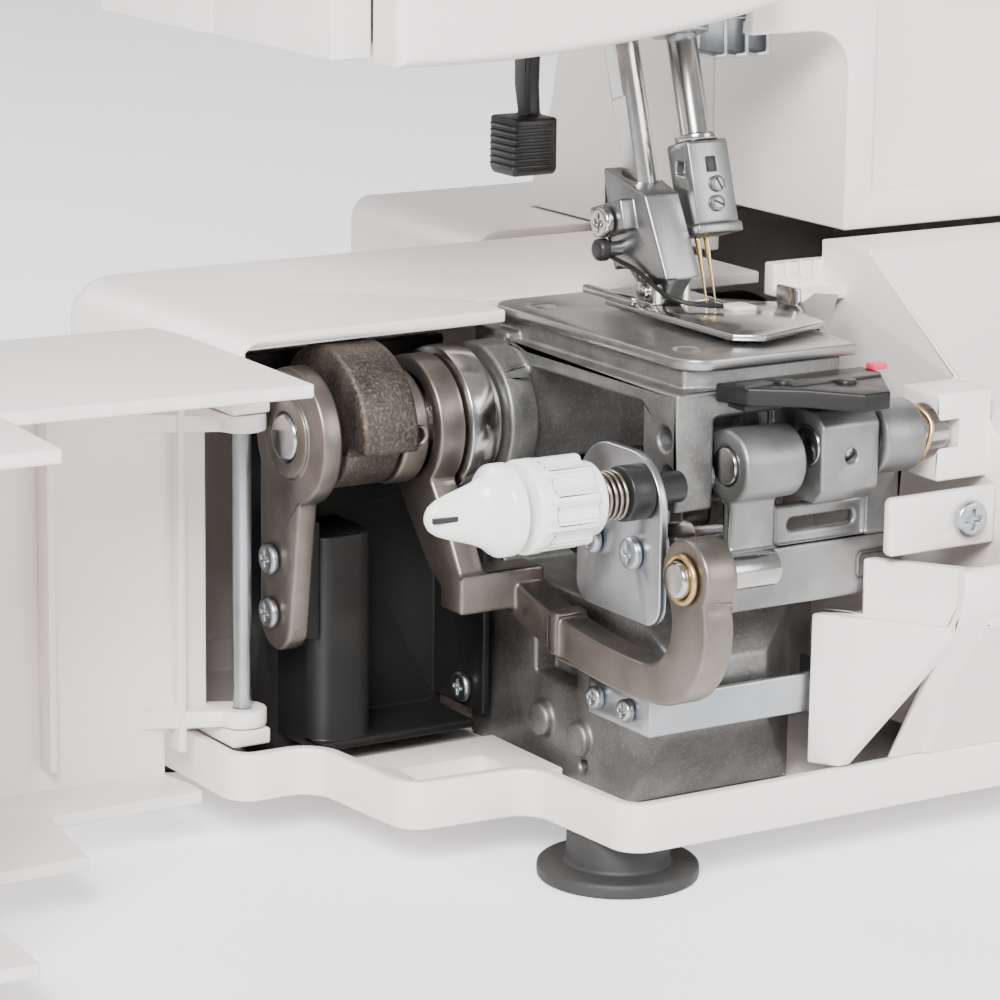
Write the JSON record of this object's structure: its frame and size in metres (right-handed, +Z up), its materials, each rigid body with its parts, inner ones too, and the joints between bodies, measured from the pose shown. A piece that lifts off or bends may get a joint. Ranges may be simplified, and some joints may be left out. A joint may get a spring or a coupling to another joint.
{
  "type": "overlock sewing machine",
  "caption": "Domestic overlock (serger) machine with its side door open, showing shaft, loopers, knife, needle bar, presser foot and adjuster knobs.",
  "frame": {"origin": "middle of the footprint, door open, on the surface the rubber feet stand on", "axes": "+X to the operator's right along the main shaft, +Y away from the operator, +Z up"},
  "size_m": [0.4152, 0.257, 0.303],
  "materials": {
    "shell": "warm off-white moulded plastic, lightly yellowed",
    "white_knob": "white moulded knob plastic",
    "black_plastic": "black moulded plastic",
    "steel": "ground and oiled steel",
    "polished": "polished steel bars",
    "plate": "brushed needle plate steel",
    "cast": "raw grey die-casting",
    "zinc": "bright zinc-plated steel sheet",
    "black_steel": "black painted sheet steel",
    "sintered": "dark sintered iron, oiled",
    "needle": "gold-toned needle steel",
    "rubber": "black rubber"
  },
  "bodies": {
    "machine_body": {"adjuster_plate": "zinc", "base_tray": "shell", "bearing_arm": "steel", "bed_casting": "cast", "bed_cover": "shell", "catch_bracket": "zinc", "cross_bracket": "zinc", "drive_belt": "rubber", "face_cover": "shell", "fixed_pins": "steel", "frame_casting": "cast", "front_housing": "shell", "front_shell": "shell", "head_plate": "zinc", "hinge_rod": "polished", "knife_frame": "zinc", "lever_pivot": "steel", "motor": "black_steel", "needle_plate": "plate", "power_inlet": "black_plastic", "rear_cover": "shell", "rear_shell": "shell", "rubber_feet": "rubber", "screws": "steel", "steel_frame": "black_steel", "thread_guide_bar": "zinc", "thread_guide_plate": "black_steel"},
    "side_door": {"side_door": "shell"},
    "main_shaft": {"main_shaft": "steel", "counterweight": "sintered", "shaft_collar": "steel", "shaft_eccentrics": "steel", "shaft_pulley": "steel", "handwheel": "shell"},
    "motor_rotor": {"motor_rotor": "steel"},
    "needle_bar": {"needle_bar": "polished", "needle_clamp": "polished", "needles": "needle"},
    "presser_bar": {"presser_bar": "polished", "foot_ankle": "steel", "foot_fasteners": "steel"},
    "presser_foot": {"presser_foot": "polished"},
    "presser_lever": {"presser_lever": "black_plastic"},
    "looper_drive_rod": {"looper_drive_rod": "steel"},
    "lower_looper": {"lower_looper": "steel"},
    "upper_looper": {"upper_looper": "steel"},
    "feed_dogs": {"feed_dogs": "steel"},
    "pointer_knob": {"pointer_knob": "white_knob", "adjuster_shaft": "steel", "adjuster_spring": "steel"},
    "scalloped_knob": {"scalloped_knob": "white_knob"},
    "tension_dial_1": {"tension_dial_1": "white_knob"},
    "tension_dial_2": {"tension_dial_2": "white_knob"},
    "tension_dial_3": {"tension_dial_3": "white_knob"},
    "tension_dial_4": {"tension_dial_4": "white_knob"},
    "pressure_knob": {"pressure_knob": "white_knob"},
    "carry_handle": {"carry_handle": "white_knob"},
    "power_rocker": {"power_rocker": "black_plastic"},
    "upper_knife": {"knife_holder": "steel", "knife_shaft": "steel"}
  },
  "joints": [
    {"name": "door_hinge", "type": "hinge", "parent": "machine_body", "child": "side_door", "pos_m": [-0.09037, -0.0195, 0.062], "axis": [0, 0, 1], "range_deg": [0, 94]},
    {"name": "main_shaft_turn", "type": "hinge", "parent": "machine_body", "child": "main_shaft", "pos_m": [0.01363, -0.0285, 0.0933], "axis": [1, 0, 0], "continuous": true},
    {"name": "motor_turn", "type": "hinge", "parent": "machine_body", "child": "motor_rotor", "pos_m": [0.10363, 0.095, 0.062], "axis": [1, 0, 0], "continuous": true},
    {"name": "needle_bar_stroke", "type": "slide", "parent": "machine_body", "child": "needle_bar", "axis": [0, 0.2924, 0.9563], "range_m": [-0.008, 0.012]},
    {"name": "presser_bar_lift", "type": "slide", "parent": "machine_body", "child": "presser_bar", "axis": [0, 0.2924, 0.9563], "range_m": [0, 0.0055]},
    {"name": "presser_foot_tilt", "type": "hinge", "parent": "presser_bar", "child": "presser_foot", "pos_m": [0.00163, -0.049, 0.1223], "axis": [1, 0, 0], "range_deg": [-3, 1]},
    {"name": "presser_lever_lift", "type": "hinge", "parent": "machine_body", "child": "presser_lever", "pos_m": [0.01063, 0.022, 0.186], "axis": [1, 0, 0], "range_deg": [0, 55]},
    {"name": "looper_rod_rock", "type": "hinge", "parent": "machine_body", "child": "looper_drive_rod", "pos_m": [-0.03487, -0.1182, 0.0754], "axis": [1, 0, 0], "range_deg": [-1.2, 1.2]},
    {"name": "lower_looper_rock", "type": "hinge", "parent": "machine_body", "child": "lower_looper", "pos_m": [-0.02287, -0.058, 0.072], "axis": [1, 0, 0], "range_deg": [-6, 6]},
    {"name": "upper_looper_rock", "type": "hinge", "parent": "machine_body", "child": "upper_looper", "pos_m": [-0.01137, -0.073, 0.07], "axis": [1, 0, 0], "range_deg": [-6, 6]},
    {"name": "feed_stroke", "type": "slide", "parent": "machine_body", "child": "feed_dogs", "axis": [0, 1, 0], "range_m": [-0.002, 0.002]},
    {"name": "pointer_knob_turn", "type": "hinge", "parent": "machine_body", "child": "pointer_knob", "pos_m": [-0.05637, -0.102, 0.091], "axis": [1, 0, 0], "range_deg": [-60, 60]},
    {"name": "scalloped_knob_turn", "type": "hinge", "parent": "machine_body", "child": "scalloped_knob", "pos_m": [-0.06237, -0.102, 0.091], "axis": [1, 0, 0], "range_deg": [-170, 170]},
    {"name": "tension_1_turn", "type": "hinge", "parent": "machine_body", "child": "tension_dial_1", "pos_m": [0.07763, -0.053, 0.206], "axis": [0, 1, 0], "range_deg": [-150, 150]},
    {"name": "tension_2_turn", "type": "hinge", "parent": "machine_body", "child": "tension_dial_2", "pos_m": [0.10363, -0.053, 0.206], "axis": [0, 1, 0], "range_deg": [-150, 150]},
    {"name": "tension_3_turn", "type": "hinge", "parent": "machine_body", "child": "tension_dial_3", "pos_m": [0.12963, -0.053, 0.206], "axis": [0, 1, 0], "range_deg": [-150, 150]},
    {"name": "tension_4_turn", "type": "hinge", "parent": "machine_body", "child": "tension_dial_4", "pos_m": [0.15563, -0.053, 0.206], "axis": [0, 1, 0], "range_deg": [-150, 150]},
    {"name": "pressure_knob_turn", "type": "hinge", "parent": "machine_body", "child": "pressure_knob", "pos_m": [0.00563, -0.029, 0.296], "axis": [0, 0, 1], "range_deg": [-180, 180]},
    {"name": "carry_handle_fold", "type": "hinge", "parent": "machine_body", "child": "carry_handle", "pos_m": [0.07163, 0.031, 0.2975], "axis": [1, 0, 0], "range_deg": [0, 90]},
    {"name": "power_rocker_tilt", "type": "hinge", "parent": "machine_body", "child": "power_rocker", "pos_m": [0.18463, 0.039, 0.065], "axis": [0, 1, 0], "range_deg": [-12, 0]},
    {"name": "upper_knife_rock", "type": "hinge", "parent": "machine_body", "child": "upper_knife", "pos_m": [0.01363, -0.105, 0.097], "axis": [1, 0, 0], "range_deg": [-8, 8]}
  ],
  "couplings": [
    {"joint": "motor_turn", "follows": "main_shaft_turn", "ratio": 3},
    {"joint": "presser_lever_lift", "follows": "presser_bar_lift", "rad_per_m": 174.5}
  ]
}
